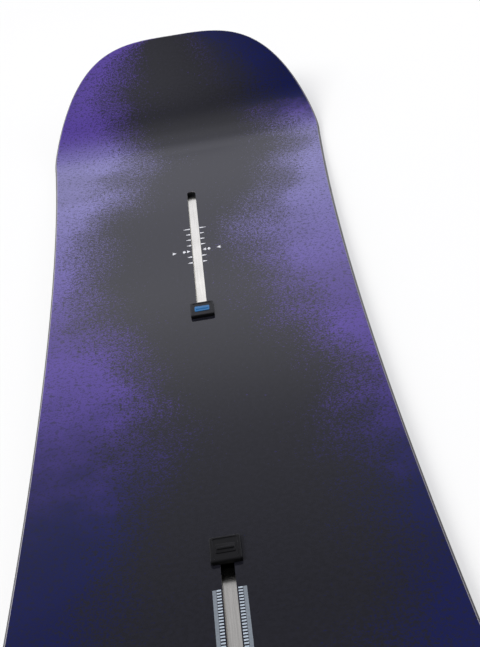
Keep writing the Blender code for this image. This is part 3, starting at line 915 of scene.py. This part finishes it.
class SNOWBOARD_OT_sides(bpy.types.Operator):
    """Slanted sidewalls beside the core, and the spacers that fill both tips"""

    bl_idname = "snowboard.sides"
    bl_label = "Sidewalls and tip spacers"

    def execute(self, context):
        tint = context.scene.board_colours.sidewall
        milled = drawn_material("milled_sidewall", tint, pitch=0.0004, depth=0.25, rough=(0.38, 0.5),
                                relief=0.000012)
        s = rows_between(-CORE_HALF, CORE_HALF)
        heights = levels(s, CORE_LOW, top_height(s) - CHAMFER, core_high(s), core_high(s), CORE_LOW)
        insets = side_inset(s[:, None], heights)
        insets[:, 3:] = SIDEWALL_WIDTH
        for name, side in SIDES:
            rings = side_rings(s, side, insets, heights)
            make_piece(f"milled_sidewall_{name}", ring_sweep(rings), milled, "board",
                       [f"sidewall_{name}"])
        moulded = moulded_material("spacer_plastic", tint, grain=0.0008, depth=0.25, rough=(0.42, 0.55),
                                   relief=0.00001)
        for name, end in ENDS:
            s = end * tip_rows(CORE_HALF + BOND)
            heights = levels(s, CORE_LOW, top_height(s) - CHAMFER, core_high(s))
            rings = span_rings(s, side_inset(s[:, None], heights), heights)
            make_piece(f"tip_fill_{name}", ring_sweep(rings), moulded, "board",
                       [f"{name}_spacer"])
        return {"FINISHED"}


class SNOWBOARD_OT_core(bpy.types.Operator):
    """Wood finishes for the core strips, in two woods by turns"""

    bl_idname = "snowboard.core"
    bl_label = "Wood core"

    def execute(self, context):
        colours = context.scene.board_colours
        strips = [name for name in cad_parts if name.startswith("core_")]
        dark = [name for name in strips if name[-1] in "135"]
        pale = [name for name in strips if name not in dark]
        dress(dark, wood_material("planed_dark_wood", colours.dark_wood))
        dress(pale, wood_material("planed_pale_wood", colours.pale_wood))
        return {"FINISHED"}


class SNOWBOARD_OT_channels(bpy.types.Operator):
    """Channel rails with a drawn floor, and the nylon caps that close them"""

    bl_idname = "snowboard.channels"
    bl_label = "Binding channels"

    def execute(self, context):
        colours = context.scene.board_colours
        aluminium = drawn_material("drawn_aluminium", colours.aluminium, pitch=0.0009, depth=0.12,
                                   rough=(0.16, 0.24), relief=0.000006, Metallic=1.0)
        nylon = moulded_material("cap_nylon", colours.nylon, grain=0.0006, depth=0.3, rough=(0.35, 0.5),
                                 relief=0.00001)
        for name, foot in FEET:
            rings = rail_rings(foot, context.scene.board_detail.groove_depth)
            make_piece(f"{name}_rail", ring_sweep(rings), aluminium, "board",
                       [f"{name}_channel_rail"])
            dress([f"{name}_channel_inner_cap", f"{name}_channel_outer_cap"], nylon)
        return {"FINISHED"}


def rail_rings(foot, groove):
    """The rail's C-section carried along its channel: floor with shallow grooves, walls and lips. At the
    entry the lips stand back to the entry's side, with a step across the section where they start."""
    s = np.concatenate(((ENTRY_START, ENTRY_END), rows_between(ENTRY_END, RAIL_END)))
    entry = np.arange(len(s)) < 2
    high = core_high(s)
    lip_x = np.where(entry, ENTRY_HALF, SLOT_HALF)
    lip_low = np.where(entry, ENTRY_LEDGE, high - RAIL_LIP)
    ease = np.where(entry, ENTRY_EASE, LIP_EASE)
    groove_x = GROOVE_PLACE + np.array((GROOVE_HALF, GROOVE_FLAT_HALF, -GROOVE_FLAT_HALF, -GROOVE_HALF))
    groove_n = RAIL_FLOOR_HIGH - groove * np.array((0, 1, 1, 0))
    x = levels(s, RAIL_HALF, RAIL_HALF, lip_x + ease, lip_x, lip_x, CAVITY_HALF, CAVITY_HALF,
               *groove_x, FLOOR_MIDDLE_HALF)
    n = levels(s, CORE_LOW, high, high, high - ease, lip_low, lip_low, RAIL_FLOOR_HIGH,
               *groove_n, RAIL_FLOOR_HIGH)
    right = press(x, foot * s[:, None], n)
    return np.concatenate((right, right[:, ::-1] * np.array((-1, 1, 1))), axis=1)


class SNOWBOARD_OT_plugs(bpy.types.Operator):
    """Rubber plugs over the channel entries, each with a panel and a raised grip"""

    bl_idname = "snowboard.plugs"
    bl_label = "Channel plugs"

    def execute(self, context):
        colours = context.scene.board_colours
        rubber = moulded_material("plug_rubber", colours.rubber, grain=0.0005, depth=0.3, rough=(0.28, 0.38),
                                  relief=0.00001, Specular_IOR_Level=0.12)
        accent = moulded_material("plug_accent", colours.accent, grain=0.0005, depth=0.3, rough=(0.42, 0.55),
                                  relief=0.000015)
        seat = press(0.0, PLUG_CENTRE - PAD_LENGTH / 2, top_height(PLUG_CENTRE))[2] + PLUG_CLEARANCE
        pad = plug_rings(context.scene.board_detail.pad_round)
        sunk = PAD_THICK - 2 * PAD_DISH
        panel = rounded_block(PANEL_WIDTH, PANEL_LENGTH, PANEL_CORNER, sunk, PAD_THICK, PANEL_ROUND)
        bar = rounded_block(GRIP_WIDTH, GRIP_LENGTH, GRIP_CORNER, sunk, PAD_THICK + GRIP_HEIGHT, GRIP_ROUND)
        for name, foot in FEET:
            body, place = f"{name}_plug", np.array((0.0, foot * PLUG_CENTRE, seat))
            grip = accent if name == "front" else rubber
            make_piece(f"{name}_plug_pad", ring_sweep(pad + place), rubber, body,
                       [f"{name}_channel_plug"])
            make_piece(f"{name}_plug_panel", ring_sweep(panel + place), grip, body)
            make_piece(f"{name}_plug_grip", ring_sweep(bar + place), grip, body)
        return {"FINISHED"}


def rounded_rectangle(width, depth, corner, z):
    """Rings of round-cornered rectangles, one for each row of the four arrays."""
    angle = np.linspace(0.0, math.pi / 2, CORNER_STEPS + 1) + math.pi / 2 * np.arange(4)[:, None]
    signs = np.repeat(np.array(((1, 1), (-1, 1), (-1, -1), (1, -1))), CORNER_STEPS + 1, axis=0)
    width, depth, corner, z = (np.asarray(value, float)[:, None] for value in (width, depth, corner, z))
    x = signs[:, 0] * (width / 2 - corner) + corner * np.cos(angle.ravel())
    y = signs[:, 1] * (depth / 2 - corner) + corner * np.sin(angle.ravel())
    return np.stack((x, y, np.broadcast_to(z, x.shape)), -1)


def rounded_block(width, depth, corner, low, high, rounding):
    """Rings of a block whose upper rim is a quarter circle."""
    rim = arc((0.0, high - rounding), rounding, 0, 90, RIM_STEPS)
    inset = rounding - rim[:, 0]
    widths = np.concatenate(([width], width - 2 * inset))
    depths = np.concatenate(([depth], depth - 2 * inset))
    corners = np.maximum(np.concatenate(([corner], corner - inset)), LEAST_CORNER_SHARE * corner)
    return rounded_rectangle(widths, depths, corners, np.concatenate(([low], rim[:, 1])))


def plug_rings(rounding):
    """Rings of a plug from below: the shank with its lead-in, the pad with its round rim, and the shallow
    dish in the pad's top."""
    lead = 2 * np.array((SHANK_LEAD, 0.0, 0.0))
    shank = rounded_rectangle(SHANK_WIDTH - lead, SHANK_LENGTH - lead, (ENTRY_CORNER,) * 3,
                              (-SHANK_DEPTH, SHANK_LEAD - SHANK_DEPTH, 0.0))
    pad = rounded_block(PAD_WIDTH, PAD_LENGTH, PAD_CORNER, 0.0, PAD_THICK, rounding)
    rim = 2 * np.array((PAD_RIM, PAD_RIM + PAD_DISH))
    dish = rounded_rectangle(PAD_WIDTH - rim, PAD_LENGTH - rim, (PAD_CORNER,) * 2,
                             (PAD_THICK, PAD_THICK - PAD_DISH))
    return np.concatenate((shank, pad, dish))


class SNOWBOARD_OT_stance_marks(bpy.types.Operator):
    """Printed stance marks: ticks, pointers and dots beside each slot, and a plain scale by the rear one"""

    bl_idname = "snowboard.stance_marks"
    bl_label = "Stance marks"

    def execute(self, context):
        colours = context.scene.board_colours
        high = context.scene.board_detail.ink_height
        white = ink_material("white_ink", colours.ink)
        pale = ink_material("pale_ink", colours.scale_ink)
        grey = ink_material("grey_ink", colours.scale_ink, level=0.42)
        marks = []
        for name, foot in FEET:
            marks.append((f"{name}_stance_ticks", tick_plans(foot), white))
            marks.append((f"{name}_stance_dots", dot_plans(foot), white))
        starts = SCALE_START + SCALE_PITCH * np.arange(SCALE_STEPS)
        ticks = scale_plans(SCALE_TICK_PLACE, SCALE_TICK_WIDE, starts, SCALE_TICK_LONG)
        line = scale_plans(SCALE_LINE_PLACE, SCALE_LINE_WIDE, starts[:1], SCALE_PITCH * SCALE_STEPS)
        marks.append(("rear_scale_ticks", ticks, pale))
        marks.append(("rear_scale_line", line, grey))
        for name, plans, ink in marks:
            make_piece(name, prisms(plans, -high, high), ink, "board")
        return {"FINISHED"}


def both_sides(plans):
    """The plans with their mirror images across the board, corners turned to keep their order."""
    return np.concatenate((plans, plans[:, ::-1] * np.array((-1, 1))))


def along_foot(plans, foot):
    """The plans of the front foot, or mirrored along the board for the rear foot."""
    return plans if foot > 0 else plans[:, ::-1] * np.array((1, -1))


def tapered_plans(starts, ends, s, start_half, end_half):
    """Four-cornered plates that run outwards from starts to ends at the places s, with half their length
    along the board given at each end."""
    corners = ((starts, s - start_half), (ends, s - end_half), (ends, s + end_half), (starts, s + start_half))
    return np.stack([np.stack(np.broadcast_arrays(*corner), -1) for corner in corners], axis=1)


def tick_plans(foot):
    """Ticks that taper outwards at each half inch, the furthest one longer, and two pointers on each side."""
    steps = np.array(TICK_STEPS)
    ends = np.where(steps == steps.max(), LONG_TICK_END, TICK_END)
    ticks = tapered_plans(TICK_START, ends, STANCE + TICK_PITCH * steps, TICK_START_HALF, TICK_END_HALF)
    pointers = tapered_plans(
        np.array(POINTER_TIPS), np.array(POINTER_BACKS), STANCE, POINTER_TIP_HALF, POINTER_BACK_HALF)
    return along_foot(both_sides(np.concatenate((ticks, pointers))), foot)


def dot_plans(foot):
    """A dot outside each inner pointer, twice as long as it is wide."""
    ring = arc((0.0, 0.0), 1.0, 0, 360, DOT_STEPS)[:-1] * np.array(DOT_HALVES)
    return along_foot(both_sides((ring + np.array((DOT_PLACE, STANCE)))[None]), foot)


def scale_plans(x, width, starts, dash):
    """Dashes along both sides of the rear slot, each from its start towards the tail."""
    edge = np.array(((-width / 2, -dash), (width / 2, -dash), (width / 2, 0.0), (-width / 2, 0.0)))
    plans = edge[None] + np.stack((np.full(len(starts), x), -starts), -1)[:, None]
    return both_sides(plans)


# Stage

class SNOWBOARD_OT_stage(bpy.types.Operator):
    """Pale floor, soft studio light and the camera"""

    bl_idname = "snowboard.stage"
    bl_label = "Stage"

    def execute(self, context):
        scene, look = context.scene, context.scene.board_stage
        scene.view_settings.view_transform = "Standard"
        half = look.floor_size / 2
        corners = [(x * half, y * half, -FLOOR_DROP) for x, y in ((-1, -1), (1, -1), (1, 1), (-1, 1))]
        floor = flat_plate(scene, "floor", corners, floor_material(look))
        scene.world = studio_world()
        reflector_card(scene)
        scene.collection.objects.link(key_light(look.key))
        scene.camera = photo_camera()
        scene.collection.objects.link(scene.camera)
        return {"FINISHED"}


def flat_plate(scene, name, corners, material):
    mesh = bpy.data.meshes.new(name)
    mesh.from_pydata(corners, [], [(0, 1, 2, 3)])
    mesh.materials.append(material)
    plate = bpy.data.objects.new(name, mesh)
    scene.collection.objects.link(plate)
    return plate


def emptied(owner):
    """The node tree of a material or a world, with no nodes in it."""
    owner.use_nodes = True
    owner.node_tree.nodes.clear()
    return owner.node_tree


def floor_material(look):
    """Pale floor that the camera sees brighter than its shading, so that it reads as white with a faint
    shadow."""
    material = bpy.data.materials.new("floor")
    tree = emptied(material)
    rays = add(tree, "ShaderNodeLightPath").outputs
    seen = fold(tree, "MAXIMUM", *(rays[f"Is {kind} Ray"] for kind in ("Camera", "Glossy", "Transmission")))
    lit = add(tree, "ShaderNodeBsdfDiffuse", {"Color": rgba(look.floor)}).outputs[0]
    glow = add(tree, "ShaderNodeEmission", {"Color": WHITE, "Strength": 1.0}).outputs[0]
    glowing = maths(tree, "MULTIPLY", seen, 1.0 - look.shadow)
    surface = add(tree, "ShaderNodeMixShader", {0: glowing, 1: lit, 2: glow}).outputs[0]
    add(tree, "ShaderNodeOutputMaterial", {"Surface": surface})
    return material


def studio_world():
    """Slightly cool light by height: bright low down, dim at mid height and bright overhead, where a panel
    hangs on the left only. It is dimmer behind the photographer. The camera sees plain white."""
    world = bpy.data.worlds.new("studio")
    tree = emptied(world)
    rays = add(tree, "ShaderNodeLightPath").outputs
    seen = maths(tree, "MAXIMUM", rays["Is Camera Ray"], rays["Is Transmission Ray"])
    facing = add(tree, "ShaderNodeTexCoord").outputs["Generated"]
    way = add(tree, "ShaderNodeSeparateXYZ", {0: facing}).outputs
    ramp = add(tree, "ShaderNodeValToRGB", {"Fac": way["Z"]})
    points = ramp.color_ramp.elements
    while len(points) < len(SKY_LEVELS):
        points.new(0.5)
    for point, (height, level) in zip(points, SKY_LEVELS):
        point.position = height
        point.color = rgba(SKY_TINT, level)
    tint = mix_colours(tree, seen, ramp.outputs["Color"], WHITE)
    ahead = ranged(tree, way["Y"], -0.7, 0.15, 0.4, 1.0)
    overhead = ranged(tree, way["Z"], 0.70, 0.85)
    past_panel = maths(tree, "MULTIPLY", overhead, ranged(tree, way["X"], -0.05, 0.06))
    strength = maths(tree, "MULTIPLY", ahead, maths(tree, "MULTIPLY_ADD", past_panel, -0.75, 1.0))
    strength = maths(tree, "MAXIMUM", seen, strength)
    light = add(tree, "ShaderNodeBackground", {"Color": tint, "Strength": strength}).outputs[0]
    add(tree, "ShaderNodeOutputWorld", {"Surface": light})
    return world


def reflector_card(scene):
    """A dim card that stands ahead of the nose, out of the camera's sight, and shows only in the gloss of the
    kick. It fades to nothing at its foot, its top and both ends."""
    material = bpy.data.materials.new("card")
    tree = emptied(material)
    place = add(tree, "ShaderNodeSeparateXYZ", {0: object_place(tree)}).outputs
    rising = ranged(tree, place["Z"], CARD_LOW, CARD_BRIGHT[0])
    fading = ranged(tree, place["Z"], CARD_HIGH, CARD_BRIGHT[1])
    inward = ranged(tree, maths(tree, "ABSOLUTE", place["X"]), CARD_HALF_WIDE, CARD_EVEN_HALF, 0.0, CARD_GLOW)
    strength = fold(tree, "MULTIPLY", rising, fading, inward)
    glow = add(tree, "ShaderNodeEmission", {"Color": WHITE, "Strength": strength}).outputs[0]
    clear = add(tree, "ShaderNodeBsdfTransparent").outputs[0]
    surface = add(tree, "ShaderNodeAddShader", {0: clear, 1: glow}).outputs[0]
    add(tree, "ShaderNodeOutputMaterial", {"Surface": surface})
    corners = [(side * CARD_HALF_WIDE, CARD_AHEAD, z)
               for side, z in ((-1, CARD_LOW), (1, CARD_LOW), (1, CARD_HIGH), (-1, CARD_HIGH))]
    card = flat_plate(scene, "card", corners, material)
    card.visible_camera = False
    card.visible_shadow = False
    return card


def key_light(strength):
    """A wide soft light from the left, behind the photographer, that the gloss doesn't show."""
    lamp = bpy.data.lights.new("key", "SUN")
    lamp.energy = strength
    lamp.angle = KEY_SPREAD
    key = bpy.data.objects.new("key", lamp)
    key.rotation_euler = KEY_TURN
    key.visible_glossy = False
    return key


def photo_camera():
    """Camera at the fitted place: forward from yaw and pitch, then rolled about that line."""
    data = bpy.data.cameras.new("photo_camera")
    data.sensor_width = SENSOR
    data.lens = FOCAL_PIXELS / IMAGE_HEIGHT * SENSOR
    data.clip_start = CLIP_NEAR
    data.clip_end = CLIP_FAR
    heading = np.array((math.sin(CAMERA_YAW), math.cos(CAMERA_YAW), 0.0))
    forward = math.cos(CAMERA_PITCH) * heading - math.sin(CAMERA_PITCH) * np.array((0.0, 0.0, 1.0))
    level = np.array((math.cos(CAMERA_YAW), -math.sin(CAMERA_YAW), 0.0))
    upright = np.cross(level, forward)
    right = math.cos(CAMERA_ROLL) * level + math.sin(CAMERA_ROLL) * upright
    up = math.cos(CAMERA_ROLL) * upright - math.sin(CAMERA_ROLL) * level
    turned = np.eye(4)
    turned[:3] = np.stack((right, up, -forward, np.array(CAMERA_PLACE)), axis=1)
    camera = bpy.data.objects.new("photo_camera", data)
    camera.matrix_world = Matrix(turned.tolist())
    return camera


# Registration

SETTINGS = (("board_detail", BoardDetail), ("board_colours", BoardColours), ("board_stage", StageLook))
PIECES = (
    SNOWBOARD_OT_base, SNOWBOARD_OT_edges, SNOWBOARD_OT_lower_laminate, SNOWBOARD_OT_sides,
    SNOWBOARD_OT_core, SNOWBOARD_OT_channels, SNOWBOARD_OT_topsheet, SNOWBOARD_OT_stance_marks,
    SNOWBOARD_OT_plugs, SNOWBOARD_OT_stage)


class SNOWBOARD_PT_panel(bpy.types.Panel):
    """Lists the settings and the pieces in the order they are built"""

    bl_idname = "SNOWBOARD_PT_panel"
    bl_label = "Snowboard"
    bl_space_type = "VIEW_3D"
    bl_region_type = "UI"
    bl_category = "Snowboard"

    def draw(self, context):
        for settings, _ in SETTINGS:
            box = self.layout.box()
            chosen = getattr(context.scene, settings)
            for name in chosen.__annotations__:
                box.prop(chosen, name)
        for piece in PIECES:
            self.layout.operator(piece.bl_idname)


def register():
    for kind in [kind for _, kind in SETTINGS] + [*PIECES, SNOWBOARD_PT_panel]:
        bpy.utils.register_class(kind)
    for name, kind in SETTINGS:
        setattr(bpy.types.Scene, name, bpy.props.PointerProperty(type=kind))


def unregister():
    for name, _ in SETTINGS:
        delattr(bpy.types.Scene, name)
    for kind in [SNOWBOARD_PT_panel, *reversed(PIECES)] + [kind for _, kind in SETTINGS]:
        bpy.utils.unregister_class(kind)


def main():
    register()
    for piece in PIECES:
        area, name = piece.bl_idname.split(".")
        getattr(getattr(bpy.ops, area), name)()


if __name__ == "__main__":
    main()
